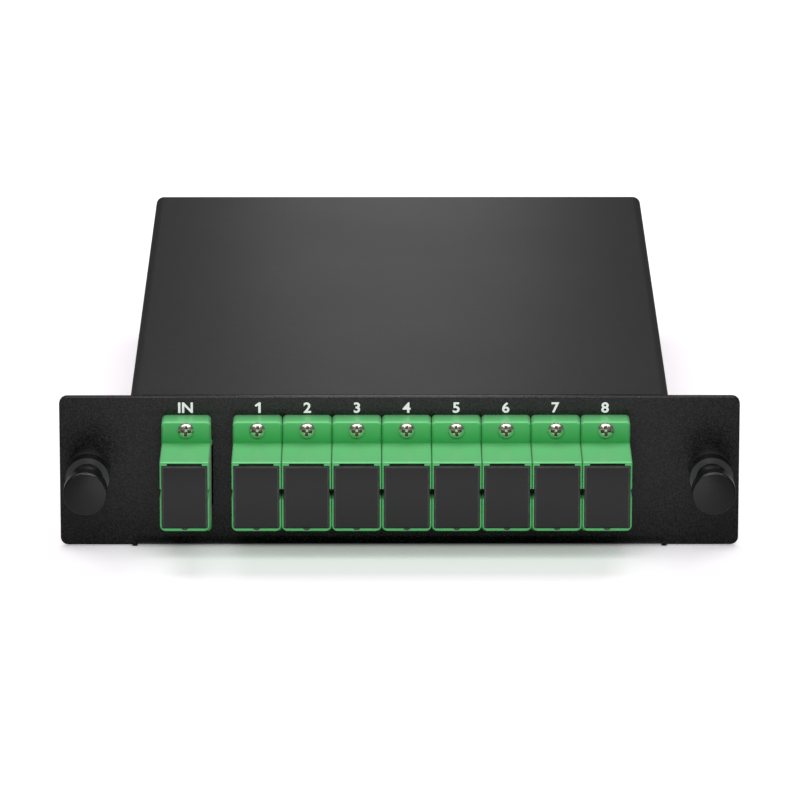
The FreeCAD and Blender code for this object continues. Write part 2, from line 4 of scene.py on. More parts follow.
import bpy
from mathutils import Matrix, Vector


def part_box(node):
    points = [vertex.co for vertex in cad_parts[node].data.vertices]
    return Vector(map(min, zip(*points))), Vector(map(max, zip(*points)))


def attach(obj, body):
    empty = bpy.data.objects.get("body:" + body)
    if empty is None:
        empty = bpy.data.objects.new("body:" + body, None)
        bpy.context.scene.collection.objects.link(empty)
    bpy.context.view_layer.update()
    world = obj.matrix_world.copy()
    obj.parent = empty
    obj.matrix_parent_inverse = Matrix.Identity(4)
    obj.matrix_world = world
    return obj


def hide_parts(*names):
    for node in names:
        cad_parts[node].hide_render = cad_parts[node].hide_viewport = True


bl_info = {
    "name": "Fibre Splitter Cassette",
    "version": (1, 0, 0),
    "blender": (4, 5, 0),
    "location": "3D View > Sidebar > Splitter",
    "description": "Finishes, fasteners, port marks and studio for a fibre splitter cassette",
    "category": "Object",
}

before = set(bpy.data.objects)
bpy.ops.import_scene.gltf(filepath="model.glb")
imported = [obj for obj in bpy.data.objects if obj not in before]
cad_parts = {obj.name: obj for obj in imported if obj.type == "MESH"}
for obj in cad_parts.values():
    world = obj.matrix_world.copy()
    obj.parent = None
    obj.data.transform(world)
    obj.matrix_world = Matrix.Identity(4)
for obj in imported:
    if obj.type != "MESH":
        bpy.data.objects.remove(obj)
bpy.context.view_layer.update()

MM = 0.001
MICRON = 1e-6
SAME_POINT = 1e-6              # points closer than this are one point
SAME_INK_POINT = 1e-7          # the same for the printed marks
LOOKS_ALONG = 0.9              # least part of a face's normal on the axis it looks along

CAP_CROWN = 0.35 * MM          # rise of a dust cap's face to its middle
RIM_HIGHLIGHT_WIDTH = 0.4 * MM          # width of the painted highlight along a cap's edges
PAINTED_LIGHT_TONE = 11.0               # tone of painted light on black plastic against its own
RIM_HIGHLIGHT_LEAST = 0.3               # painted highlight that every edge has, under the patchy noise
SKIRT_START = 9.0 * MM         # latch skirt's front, behind the front of the knob
POLE_RADIUS = 0.96 * MM        # round the middle of a knob's dome
FLANGE_PAST_NOSE = 4.275 * MM  # top of an adapter's flange above its nose

# how far a green housing is on the way to its painted light colour: painted light and shade
PAINTED_LIGHT_PLAIN = 0.34              # sides, rim and inside
PAINTED_LIGHT_FLANGE_TOP = 0.42         # painted light at the top of the flange's face, with none at the nose, which is painted shade
PAINTED_LIGHT_ON_TOP = 0.24             # painted light added where a face looks up
PAINTED_HIGHLIGHT_ON_EDGE = 0.8             # painted highlight added on edges, times up, times ahead

SCREW_SEED = 5                 # for how far each adapter screw is turned
PORTS = ["in"] + [str(n) for n in range(1, 9)]
SIDES = ["left", "right"]


# --- places taken from the frame ---------------------------------------------
def middle(node):
    """Middle of a node's box."""
    low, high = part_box(node)
    return (Vector(low) + Vector(high)) / 2


def low_corner(node):
    """Corner of a node's box with the least of each coordinate."""
    return Vector(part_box(node)[0])


def high_corner(node):
    """Corner of a node's box with the most of each coordinate."""
    return Vector(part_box(node)[1])


PANEL_FACE = low_corner("front_tray").y

# thickness of a mark before it is scaled
ROUGH_THICK = 2.0

# numeral one with its flag, in shares of its height
ONE = [(0.52, 0), (0.52, 1), (0.35, 1), (0, 0.72), (0.115, 0.575), (0.31, 0.735), (0.31, 0)]


# --- sizes and colours that a user may change --------------------------------
def length(name, description, millimetres):
    """A size, given in millimetres and kept in metres."""
    return bpy.props.FloatProperty(
        name=name, description=description, default=millimetres * MM,
        min=0.0, unit="LENGTH", subtype="DISTANCE", precision=6)


def angle(name, description, degrees):
    """An angle, given in degrees and kept in radians."""
    return bpy.props.FloatProperty(
        name=name, description=description, default=math.radians(degrees),
        unit="ROTATION", subtype="ANGLE")


def share(name, description, value, top=1.0):
    """A plain number from 0 to the top."""
    return bpy.props.FloatProperty(
        name=name, description=description, default=value, min=0.0, max=top)


def colour(name, description, rgb):
    """A colour with each part from 0 to 1."""
    return bpy.props.FloatVectorProperty(
        name=name, description=description, default=rgb,
        size=3, min=0.0, max=1.0, subtype="COLOR")


class CassetteFinishes(bpy.types.PropertyGroup):
    """Colours and surface sizes of the cassette's own parts."""
    coat: colour("Powder coat", "Black coat of the folded steel case", (0.0105, 0.0105, 0.0107))
    tray_rough: share("Tray roughness", "Least roughness of the tray's coat", 0.18)
    cover_rough: share("Cover roughness", "Least roughness of the cover's coat", 0.32)
    coat_grain: length("Coat grain", "Width of a grain of the powder coat", 0.36)
    coat_relief: length("Coat relief", "Height of the powder coat's grain", 0.035)
    adapter_green: colour("Adapter green", "Housings of the ports at their darkest",
                          (0.023, 0.37, 0.070))
    # painted light: the housings' tops and edges are lifted toward this colour
    adapter_pale: colour("Adapter pale green", "Edges of the housings, rubbed pale",
                         (0.22, 0.82, 0.31))
    cap_black: colour("Cap black", "Moulded dust caps", (0.0085, 0.0085, 0.0088))
    nylon_black: colour("Nylon black", "Push-pull latches", (0.0055, 0.0055, 0.0058))
    bush_black: colour("Bush black", "Bushes that the latches run in", (0.020, 0.020, 0.0205))
    nickel: colour("Nickel", "Plated screws and nuts of the adapters", (0.80, 0.765, 0.68))
    # painted shade: a dark colour for the screw recesses, where shade falls
    recess: colour("Screw recess", "Thinly plated recess of an adapter screw", (0.16, 0.13, 0.09))
    zinc_black: colour("Black zinc", "Countersunk screws of the cover", (0.035, 0.035, 0.037))
    white_plastic: colour("White plastic", "Latch inserts and fibre saddles", (0.74, 0.74, 0.71))
    ceramic: colour("Ceramic", "Split alignment sleeves", (0.86, 0.85, 0.80))
    module_steel: colour("Module steel", "Tube of the splitter module", (0.56, 0.56, 0.55))
    resin: colour("Resin", "Filling of the splitter module", (0.055, 0.058, 0.06))
    foam: colour("Foam tape", "Pad under the splitter module", (0.07, 0.07, 0.07))
    fibre: colour("Fibre jacket", "Buffered fibres inside the case", (0.78, 0.78, 0.75))


class ScrewSizes(bpy.types.PropertyGroup):
    """Pan-head screws of the adapters and countersunk screws of the cover."""
    head_width: length("Head width", "Pan head of an adapter screw", 3.0)
    head_height: length("Head height", "Pan head from flange to crown", 1.0)
    head_crown: length("Crown", "Domed part of the pan head", 0.5)
    recess_width: length("Recess width", "Cross recess from tip to tip", 2.4)
    recess_wing: length("Recess wing", "Width of one wing of the recess", 0.68)
    recess_depth: length("Recess depth", "Depth of the cross recess", 0.55)
    cover_recess_width: length("Cover recess width", "Cross recess of a cover screw", 2.5)
    edge: length("Edge", "Rounded edges of the heads", 0.07)
    shank: length("Shank", "Half the width of an adapter screw's shank", 0.95)
    cover_neck: length("Cover neck", "Half the width of a cover screw's shank", 1.22)
    cover_head: length("Cover head", "Height of a cover screw's countersunk head", 1.1)
    cover_length: length("Cover length", "Length of a cover screw with its head", 3.95)
    overlap: length("Overlap", "How far a recess cutter stands out of the head", 0.5)
    taper: share("Taper", "Inner end of a recess cutter against its outer end", 0.75)
    turn: angle("Turn", "Most that an adapter screw is turned to either side", 8.0)


class MarkSizes(bpy.types.PropertyGroup):
    """Printed marks over the ports."""
    height: length("Height", "Height of a mark", 2.07)
    rise: length("Rise", "Middle of the marks above the middle of the panel", 12.27)
    paint: length("Paint", "Thickness of the print on the panel", 0.02)
    stretch: share("Stretch", "Width of the marks against the font's own", 1.07, 2.0)
    input_shift: length("Input shift", "How far the input's mark is to the left of its port", 0.20)
    weight: share("Weight", "How much the strokes are thickened, as a share of the height", 0.025)
    curve_steps: bpy.props.IntProperty(
        name="Curve steps", description="Steps in each curve of a mark", default=6, min=1)
    white: colour("Mark white", "Printed marks", (0.95, 0.94, 0.95))
    # painted glow: the marks give out light of their own, though they are no lamp
    glow: colour("Mark glow", "Light that the white ink gives back", (0.95, 0.90, 0.95))
    glow_level: share("Glow level", "Strength of the light that the ink gives back", 0.20)


class StudioSettings(bpy.types.PropertyGroup):
    """Floor, lamps and camera."""
    lens: length("Lens", "Focal length", 311.07)
    distance: length("Distance", "Camera to the panel's top edge", 1311.0)
    height_angle: angle("Height angle", "How far the camera looks down", 15.50)
    side_angle: angle("Side angle", "How far the camera is turned to the side", 0.095)
    aim_drop: length("Aim drop", "Camera's aim below the panel's top edge", 0.64)
    aim_right: length("Aim right", "Camera's aim to the right of the middle", 0.10)
    floor_seen: colour("Floor as seen", "Half of the floor's white for the camera",
                       (0.575, 0.54, 0.575))
    floor_glow: share("Floor glow", "Even light that lifts the floor for the camera", 0.35)
    floor: colour("Floor", "Grey floor that lights the cassette", (0.25, 0.25, 0.25))
    # painted pool of light on the floor ahead of the panel, brightest in the middle, with painted
    # shade near the panel; the camera does not see it
    card: colour("Card", "White card on the floor in front of the panel", (0.95, 0.95, 0.95))
    card_half: length("Card half width", "Cassette's middle to the middle of the card's soft edge",
                      64.0)
    card_edge: length("Card edge", "Width of the card's soft edges", 34.0)
    card_depth: length("Card depth", "From where the card starts to where it is whitest", 81.6)
    card_least: share("Card start level", "How much of the card's white its start has", 0.6)
    card_start: length("Card start", "Gap between the panel and the card", 6.0)
    # painted contact shadow: the floor's glow fades before the case
    contact: length("Contact shadow", "Reach of the dark line on the floor before the case", 2.8)
    contact_end: share("Contact end", "Floor's lift at the panel, of its full lift", 0.65)
    world: share("World", "Level of the even light from all round", 0.10, 5.0)
    top_power: share("Top lamp", "Power of the soft lamp overhead, in watts", 8.0, 100.0)
    back_power: share("Back lamp", "Power of the narrow lamp behind, in watts", 0.021, 100.0)
    front_power: share("Front lamp", "Power of the soft lamp in front, in watts", 10.5, 100.0)
    fill_power: share("Fill lamp", "Power of the small low lamp in front, in watts", 0.55, 100.0)


GROUPS = {
    "splitter_finishes": CassetteFinishes,
    "splitter_screws": ScrewSizes,
    "splitter_marks": MarkSizes,
    "splitter_studio": StudioSettings,
}


# --- material arithmetic -------------------------------------------------------
class Value:
    """A socket of a material's nodes; arithmetic on it adds Math nodes."""

    def __init__(self, finish, socket):
        self.finish = finish
        self.socket = socket

    def math(self, operation, first, second):
        return self.finish.math(operation, first, second)

    def __add__(self, other):
        return self.math("ADD", self, other)

    def __radd__(self, other):
        return self.math("ADD", other, self)

    def __sub__(self, other):
        return self.math("SUBTRACT", self, other)

    def __rsub__(self, other):
        return self.math("SUBTRACT", other, self)

    def __mul__(self, other):
        return self.math("MULTIPLY", self, other)

    def __rmul__(self, other):
        return self.math("MULTIPLY", other, self)


class Finish:
    """A material in the making. One method adds any node and fills its sockets."""

    def __init__(self, name):
        self.material = bpy.data.materials.new(name)
        self.material.use_nodes = True
        self.tree = self.material.node_tree
        self.tree.nodes.clear()

    def node(self, kind, settings=None, sockets=None, output=0):
        """Adds a node, makes its settings, fills its sockets and gives one of its outputs."""
        node = self.tree.nodes.new("ShaderNode" + kind)
        for key, value in (settings or {}).items():
            if key == "stops":
                self.stops(node.color_ramp, value)
            else:
                setattr(node, key, value)
        for key, value in (sockets or {}).items():
            if isinstance(value, Value):
                self.tree.links.new(value.socket, node.inputs[key])
            else:
                node.inputs[key].default_value = value
        return Value(self, node.outputs[output]) if node.outputs else None

    def stops(self, ramp, stops):
        """Sets a ramp's stops from pairs of place and grey."""
        while len(ramp.elements) < len(stops):
            ramp.elements.new(1.0)
        for element, (place, grey) in zip(ramp.elements, stops):
            element.position = place
            element.color = (grey, grey, grey, 1.0)

    def math(self, operation, first, second=0.0):
        """Any operation of a Math node; those on one value ignore the second."""
        return self.node("Math", {"operation": operation}, {0: first, 1: second})

    def coordinates(self):
        """Place on the piece, in metres."""
        return self.node("TexCoord", output="Object")

    def facing(self, kind="Normal"):
        """Which way the surface looks."""
        return self.node("NewGeometry", output=kind)

    def part_of(self, place, axis):
        """One part, X, Y or Z, of a place or a direction."""
        return self.node("SeparateXYZ", {}, {"Vector": place}, axis)

    def noise(self, width, detail=2.0, roughness=0.5, stretch=None):
        """Soft noise whose patches are about as wide as width, in metres."""
        place = self.coordinates()
        if stretch:
            place = self.node("Mapping", {}, {"Vector": place, "Scale": stretch})
        return self.node("TexNoise", {}, {
            "Vector": place, "Scale": 1.0 / width, "Detail": detail, "Roughness": roughness})

    def cells(self, width):
        """Distance to the nearest of many scattered points, width apart, in metres."""
        return self.node("TexVoronoi", {}, {
            "Vector": self.coordinates(), "Scale": 1.0 / width})

    def ramp(self, value, stops):
        """Greys of the stops as the value goes from 0 to 1."""
        return self.node("ValToRGB", {"stops": stops}, {"Fac": value})

    def between(self, factor, first, second):
        """Colour from first to second as factor goes from 0 to 1."""
        # a colour mix has its two colours at 6 and 7, and its result at 2
        return self.node("Mix", {"data_type": "RGBA"}, {0: factor, 6: first, 7: second}, 2)

    def relief(self, height, rise, below=None):
        """Normal of a surface whose height, from 0 to 1, stands for rise in metres."""
        sockets = {"Height": height, "Distance": rise, "Strength": 1.0}
        if below is not None:
            sockets["Normal"] = below
        return self.node("Bump", {}, sockets)

    def surface(self, **sockets):
        """Closes the material with a principled shader; sockets are named in words."""
        named = {key.replace("_", " "): value for key, value in sockets.items()}
        shader = self.node("BsdfPrincipled", {}, named)
        self.node("OutputMaterial", {}, {"Surface": shader})
        return self.material


def tone(rgb, factor):
    """A colour with its light multiplied, opaque."""
    return (*[min(1.0, part * factor) for part in rgb], 1.0)


# --- finishes ------------------------------------------------------------------
def powder_coat(name, look, rough):
    """Fine-grained black powder coat: fused grains, a faint ripple and cloudy gloss."""
    pit_width, ripple_width, cloud_width = look.coat_grain * 1.3, look.coat_grain * 9, 35 * MM
    grain_part, pit_part, ripple_part = 0.65, 0.25, 0.35
    hollow, crest = 0.38, 0.66
    hollow_tone, crest_tone = 0.25, 2.1
    coat = Finish(name)
    grain = coat.noise(look.coat_grain, detail=3.0, roughness=0.55)
    pits = coat.cells(pit_width)
    ripple = coat.noise(ripple_width, detail=1.0)
    cloud = coat.noise(cloud_width)
    height = grain * grain_part + pits * pit_part + ripple * ripple_part
    speck = coat.ramp(grain, [(hollow, 0.0), (crest, 1.0)])
    return coat.surface(
        Base_Color=coat.between(speck, tone(look.coat, hollow_tone), tone(look.coat, crest_tone)),
        Roughness=rough + grain * 0.10 + cloud * 0.05,
        Specular_IOR_Level=0.38,
        Normal=coat.relief(height, look.coat_relief))


def moulded(name, rgb, rough, grain, rise, gloss, spread=0.12, sheen=0.0,
            below=None, painted_light=None, painted_light_colour=None):
    """Moulded plastic: fine spark-eroded grain, faint flow marks and uneven gloss.

    below makes the normal under the grain, and painted_light the share of painted light, by which
    the base colour goes toward painted_light_colour.
    """
    flow_width, along_flow = 6 * MM, (1.0, 0.35, 1.0)
    flow_part, fine_part = 0.6, 0.4
    plastic = Finish(name)
    fine = plastic.noise(grain, roughness=0.6)
    form = below(plastic) if below else None
    flow = plastic.noise(flow_width, stretch=along_flow)
    tint = plastic.ramp(flow * flow_part + fine * fine_part, [(0.35, 0.0), (0.65, 1.0)])
    base = plastic.between(tint, tone(rgb, 1 - spread), tone(rgb, 1 + spread))
    # painted light and shade: the base colour moves toward a lighter colour where the mask says
    if painted_light:
        base = plastic.between(painted_light(plastic), base, painted_light_colour or tone(rgb, PAINTED_LIGHT_TONE))
    return plastic.surface(
        Base_Color=base,
        Roughness=rough - 0.05 + fine * 0.06 + flow * 0.05,
        Specular_IOR_Level=gloss,
        Sheen_Weight=sheen,
        Sheen_Roughness=0.4,
        Normal=plastic.relief(fine, rise, form))


def crowned(plastic):
    """Normal of a face that a mould leaves slightly crowned from its top to its bottom."""
    centre = middle("dust_cap_in").z
    half = high_corner("dust_cap_in").z - centre
    height = (plastic.part_of(plastic.coordinates(), "Z") - centre) * (1 / half)
    return plastic.relief(1.0 - height * height, CAP_CROWN)


def worn_edge(port):
    """Painted highlight along the edges of a cap's face, patchy with noise: from 0 inside its edges
    to 1 on them.
    """
    centre = middle("dust_cap_" + port)
    half = high_corner("dust_cap_" + port) - centre

    def rubbed(plastic):
        place = plastic.coordinates()
        aside = plastic.math("ABSOLUTE", plastic.part_of(place, "X") - centre.x)
        above = plastic.math("ABSOLUTE", plastic.part_of(place, "Z") - centre.z)
        inside = plastic.math("MINIMUM", half.x - aside, half.z - above)
        patchy = plastic.noise(1.5 * MM) + RIM_HIGHLIGHT_LEAST
        return plastic.ramp(inside * (1 / RIM_HIGHLIGHT_WIDTH), [(0.35, 1.0), (1.0, 0.0)]) * patchy

    return rubbed


def paled(plastic):
    """Share of painted light on a housing: painted shade where its flange meets the nose, painted
    light on tops, painted highlights most on edges.
    """
    normal = plastic.facing()
    up = plastic.math("MAXIMUM", plastic.part_of(normal, "Z"))
    ahead = plastic.math("MAXIMUM", plastic.part_of(normal, "Y") * -1.0)
    nose_top = high_corner("adapter_in").z - FLANGE_PAST_NOSE
    height = plastic.part_of(plastic.coordinates(), "Z")
    just_above = 0.01
    flange = plastic.ramp((height - nose_top) * (1 / FLANGE_PAST_NOSE), [
        (0.0, PAINTED_LIGHT_PLAIN), (just_above, 0.0), (1.0, PAINTED_LIGHT_FLANGE_TOP)])
    return (PAINTED_LIGHT_PLAIN + (flange - PAINTED_LIGHT_PLAIN) * ahead
            + up * PAINTED_LIGHT_ON_TOP + up * ahead * PAINTED_HIGHLIGHT_ON_EDGE)


def rubbed_skirt(plastic):
    """Painted light on the front of a latch's skirt, which lies in the knob's shade, as 1 against 0
    elsewhere.
    """
    ahead = plastic.part_of(plastic.facing(), "Y") * -1.0
    front = plastic.math("GREATER_THAN", ahead, LOOKS_ALONG)
    behind_head = low_corner("latch_plunger_left").y + SKIRT_START
    depth = plastic.part_of(plastic.coordinates(), "Y")
    return front * plastic.math("GREATER_THAN", depth, behind_head)


def flat_pole(plastic):
    """Normal that is the face's own close to a knob's axis, where the dome's faces meet."""
    place = plastic.coordinates()
    axis = middle("latch_plunger_right")
    aside = plastic.math("ABSOLUTE", plastic.part_of(place, "X")) - axis.x
    above = plastic.part_of(place, "Z") - axis.z
    near = plastic.math("LESS_THAN", aside * aside + above * above, POLE_RADIUS ** 2)
    return plastic.between(near, plastic.facing(), plastic.facing("True Normal"))


def plated(name, rgb, rough, metal=1.0):
    """Plated steel: drawn marks across the face and a little mottling."""
    mark_width, along_marks = 0.18 * MM, (1.0, 0.2, 3.0)
    steel = Finish(name)
    marks = steel.noise(mark_width, roughness=0.6, stretch=along_marks)
    cloud = steel.noise(1.2 * MM)
    return steel.surface(
        Base_Color=steel.between(cloud, tone(rgb, 0.82), tone(rgb, 1.12)),
        Metallic=metal,
        Roughness=rough + marks * 0.10 + cloud * 0.05,
        Normal=steel.relief(marks, 3 * MICRON))


def foam_tape(look):
    """Foam tape with open pores."""
    foam = Finish("foam_tape")
    pores = foam.cells(0.6 * MM)
    return foam.surface(
        Base_Color=foam.between(pores, tone(look.foam, 0.5), tone(look.foam, 1.3)),
        Roughness=0.9 - pores * 0.1,
        Normal=foam.relief(pores, 0.2 * MM))


def mark_ink(sizes):
    """Screen-printed ink: slightly mottled where it lies on the coat's grain, with a painted glow
    of its own.
    """
    ink = Finish("mark_ink")
    thin = ink.noise(0.3 * MM)
    return ink.surface(
        Base_Color=ink.between(thin, tone(sizes.white, 0.88), tone(sizes.white, 1.08)),
        Roughness=0.55 + thin * 0.1,
        Specular_IOR_Level=0.3,
        # painted glow: the ink gives out light of its own
        Emission_Color=tone(sizes.glow, 1.0),
        Emission_Strength=sizes.glow_level,
        Normal=ink.relief(thin, 4 * MICRON))


def dress(material, nodes):
    """Gives CAD nodes a finish in place of the plain one that they came with."""
    for name in nodes:
        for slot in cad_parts[name].material_slots:
            slot.material = material


def every(stem):
    """A node's name for each port."""
    return [stem + "_" + port for port in PORTS]


# --- modelling -----------------------------------------------------------------
def start_clean():
    """Object mode with nothing selected."""
    if bpy.context.object and bpy.context.object.mode != "OBJECT":
        bpy.ops.object.mode_set(mode="OBJECT")
    bpy.ops.object.select_all(action="DESELECT")


def only(piece):
    """Selects one piece alone and makes it the active one."""
    start_clean()
    piece.select_set(True)
    bpy.context.view_layer.objects.active = piece


def settled(piece, name, material=None):
    """Names a finished piece, puts its place into its mesh and gives it its finish."""
    piece.name = name
    piece.data.name = name
    piece.data.transform(piece.matrix_world)
    piece.matrix_world = Matrix.Identity(4)
    if material:
        piece.data.materials.clear()
        piece.data.materials.append(material)
    return piece


def smooth(piece, degrees=35):
    """Shades a piece smooth across edges that turn less than the angle."""
    only(piece)
    bpy.ops.object.shade_smooth_by_angle(angle=math.radians(degrees))


def outlined(steps):
    """A chain of edges through the steps, left in edit mode with all of it selected."""
    start_clean()
    bpy.ops.mesh.primitive_plane_add(size=MM, location=(*steps[0], 0))
    piece = bpy.context.object
    bpy.ops.object.mode_set(mode="EDIT")
    bpy.ops.mesh.select_all(action="SELECT")
    bpy.ops.mesh.merge(type="CENTER")
    for here, there in zip(steps, steps[1:]):
        move = (there[0] - here[0], there[1] - here[1], 0)
        bpy.ops.mesh.extrude_region_move(TRANSFORM_OT_translate={"value": move})
    bpy.ops.mesh.select_all(action="SELECT")
    return piece


def extruded(steps, thick):
    """A flat closed piece with the outline of the steps, thick along z."""
    piece = outlined(steps)
    bpy.ops.mesh.edge_face_add()
    bpy.ops.mesh.extrude_region_move(TRANSFORM_OT_translate={"value": (0, 0, thick)})
    bpy.ops.object.mode_set(mode="OBJECT")
    return settled(piece, "extruded")


def turned(steps, count=48):
    """Closed round piece about the y axis, from an outline of radius and y."""
    piece = outlined(steps)
    bpy.ops.mesh.spin(steps=count, angle=2 * math.pi, center=(0, 0, 0), axis=(0, 1, 0))
    bpy.ops.mesh.select_all(action="SELECT")
    bpy.ops.mesh.remove_doubles(threshold=SAME_POINT)
    bpy.ops.mesh.normals_make_consistent(inside=False)
    bpy.ops.object.mode_set(mode="OBJECT")
    return piece


def cross_cutter(sizes, centre, width, side, end):
    """Cross-shaped cutter for a head that faces -y: a core with four wings, tapered inwards.

    The side material goes on all of it but the core's inner end.
    """
    wing, depth, overlap = sizes.recess_wing, sizes.recess_depth, sizes.overlap
    start_clean()
    bpy.ops.mesh.primitive_cube_add(size=1.0, location=centre)
    piece = bpy.context.object
    bpy.ops.object.mode_set(mode="EDIT")
    bpy.ops.mesh.select_all(action="SELECT")
    bpy.ops.transform.resize(value=(wing, depth + overlap, wing))
    bpy.ops.transform.translate(value=(0, (depth - overlap) / 2, 0))
    bpy.ops.mesh.select_mode(type="FACE")
    bpy.ops.object.mode_set(mode="OBJECT")
    for face in piece.data.polygons:
        face.select = abs(face.normal.y) < LOOKS_ALONG
    bpy.ops.object.mode_set(mode="EDIT")
    bpy.ops.mesh.select_mode(type="FACE")
    bpy.ops.mesh.extrude_faces_move(TRANSFORM_OT_shrink_fatten={"value": (width - wing) / 2})
    bpy.ops.mesh.select_all(action="DESELECT")
    bpy.ops.object.mode_set(mode="OBJECT")
    inner = max(vertex.co.y for vertex in piece.data.vertices)
    for vertex in piece.data.vertices:
        vertex.select = abs(vertex.co.y - inner) < SAME_POINT
    bpy.ops.object.mode_set(mode="EDIT")
    bpy.ops.mesh.select_mode(type="VERT")
    bpy.ops.transform.resize(value=(sizes.taper, 1.0, sizes.taper))
    bpy.ops.mesh.select_all(action="SELECT")
    bpy.ops.mesh.normals_make_consistent(inside=False)
    bpy.ops.object.mode_set(mode="OBJECT")
    for material in (side, end):
        piece.data.materials.append(material)
    for face in piece.data.polygons:
        on_axis = max(abs(face.center.x), abs(face.center.z)) < wing / 4
        face.material_index = 1 if on_axis and face.normal.y > LOOKS_ALONG else 0
    return piece


def cut(piece, cutter):
    """Takes the cutter's shape out of the piece, with the cutter's materials."""
    only(piece)
    tool = piece.modifiers.new("recess", "BOOLEAN")
    tool.operation = "DIFFERENCE"
    tool.solver = "EXACT"
    tool.material_mode = "TRANSFER"
    tool.object = cutter
    bpy.ops.object.modifier_apply(modifier=tool.name)
    bpy.data.objects.remove(cutter)


def softened(piece, width, degrees=30):
    """Rounds the edges of a piece that turn more than the angle."""
    only(piece)
    tool = piece.modifiers.new("edge", "BEVEL")
    tool.width = width
    tool.segments = 2
    tool.limit_method = "ANGLE"
    tool.angle_limit = math.radians(degrees)
    bpy.ops.object.modifier_apply(modifier=tool.name)


def dome(radius, face, height, count=7):
    """Outline steps over a dome, from its crown at face - height to its edge."""
    sphere = (radius * radius + height * height) / (2 * height)
    widest = math.asin(radius / sphere)
    steps = []
    for n in range(count + 1):
        lean = widest * n / count
        steps.append((sphere * math.sin(lean), face - height + sphere * (1 - math.cos(lean))))
    return steps


def copied(piece, name, turn, move, axis="Y"):
    """A copy with its own mesh, turned about its own axis at the frame's origin and moved."""
    twin = piece.copy()
    twin.data = piece.data.copy()
    bpy.context.collection.objects.link(twin)
    twin.data.transform(Matrix.Translation(move) @ Matrix.Rotation(turn, 4, axis))
    twin.name = name
    twin.data.name = name
    return twin


# --- stage ---------------------------------------------------------------------
FLOOR_WIDTH = 8.0
FLOOR_GAP = 0.05 * MM          # floor below the base
SENSOR_WIDTH = 36.0            # of the camera, in millimetres
CAMERA_CLIP = (0.05, 50.0)

# each lamp's place, what it looks at, and its width and height
LAMPS = {
    "top": ((0, 0.35, 1.0), (0, 0, 0), (1.4, 0.9)),
    "back": ((0, 0.42, 0.12), (0, 0.05, 0.03), (0.075, 0.10)),
    "front": ((0, -1.5, 1.20), (0, PANEL_FACE, 0.015), (3.0, 0.35)),
    "fill": ((0, -0.42, 0.24), (0, -0.25, 0), (0.20, 0.12)),
}


def pale_floor(studio):
    """Pale floor: the camera sees it white, with its shadow and a painted contact shadow before the
    case, and the cassette is lit by its grey, with a painted pool of light ahead of the panel."""
    floor = Finish("pale_floor")
    seen = floor.node("LightPath", output="Is Camera Ray")
    place = floor.coordinates()
    aside = floor.math("ABSOLUTE", floor.part_of(place, "X"))
    depth = floor.part_of(place, "Y")
    ahead = PANEL_FACE - depth

    # painted pool of light: whitest in the middle, fading at the sides, and darker at its start
    # near the panel as painted shade
    inward = (studio.card_half + studio.card_edge / 2 - aside) * (1 / studio.card_edge)
    onward = (ahead - studio.card_start) * (1 / studio.card_depth)
    card = floor.ramp(inward, [(0.0, 0.0), (1.0, 1.0)])
    card = card * floor.ramp(onward, [(0.0, studio.card_least), (1.0, 1.0)])
    grey = floor.node("BsdfDiffuse", {}, {"Color": tone(studio.floor, 1.0)})
    pool_white = floor.node("BsdfDiffuse", {}, {"Color": tone(studio.card, 1.0)})
    lighting = floor.node("MixShader", {}, {0: card, 1: grey, 2: pool_white})

    half = floor.node("BsdfDiffuse", {}, {"Color": tone(studio.floor_seen, 1.0)})
    white = floor.node("AddShader", {}, {0: half, 1: half})
    # painted contact shadow: the glow fades to nothing just before the case's front
    beyond = floor.ramp(ahead * (1 / studio.contact) + studio.contact_end, [(0.0, 0.0), (1.0, 1.0)])
    case = high_corner("top_cover")
    under_case = floor.math("LESS_THAN", aside, case.x) * floor.math("LESS_THAN", depth, case.y)
    lifted = floor.math("MAXIMUM", beyond, 1.0 - under_case)
    painted_shade = floor.node("Emission", {}, {"Strength": 0.0})
    lit = floor.node("Emission", {}, {"Strength": studio.floor_glow})
    glow = floor.node("MixShader", {}, {0: lifted, 1: painted_shade, 2: lit})
    picture = floor.node("AddShader", {}, {0: white, 1: glow})

    mixed = floor.node("MixShader", {}, {0: seen, 1: lighting, 2: picture})
    floor.node("OutputMaterial", {}, {"Surface": mixed})
    return floor.material


def area_lamp(name, place, aim, size, power):
    """A soft rectangular lamp that looks at the aim."""
    data = bpy.data.lights.new(name, "AREA")
    data.shape = "RECTANGLE"
    data.size, data.size_y = size
    data.energy = power
    lamp = bpy.data.objects.new(name, data)
    bpy.context.scene.collection.objects.link(lamp)
    lamp.rotation_mode = "QUATERNION"
    lamp.rotation_quaternion = (aim - place).to_track_quat("-Z", "Y")
    lamp.location = place


# --- operators -----------------------------------------------------------------
class SPLITTER_OT_case(bpy.types.Operator):
    """Coat the folded tray and the cover"""
    bl_idname = "splitter.case"
    bl_label = "Coat the Case"

    def execute(self, context):
        look = context.scene.splitter_finishes
        dress(powder_coat("tray_coat", look, look.tray_rough), ["front_tray"])
        dress(powder_coat("cover_coat", look, look.cover_rough), ["top_cover"])
        return {"FINISHED"}


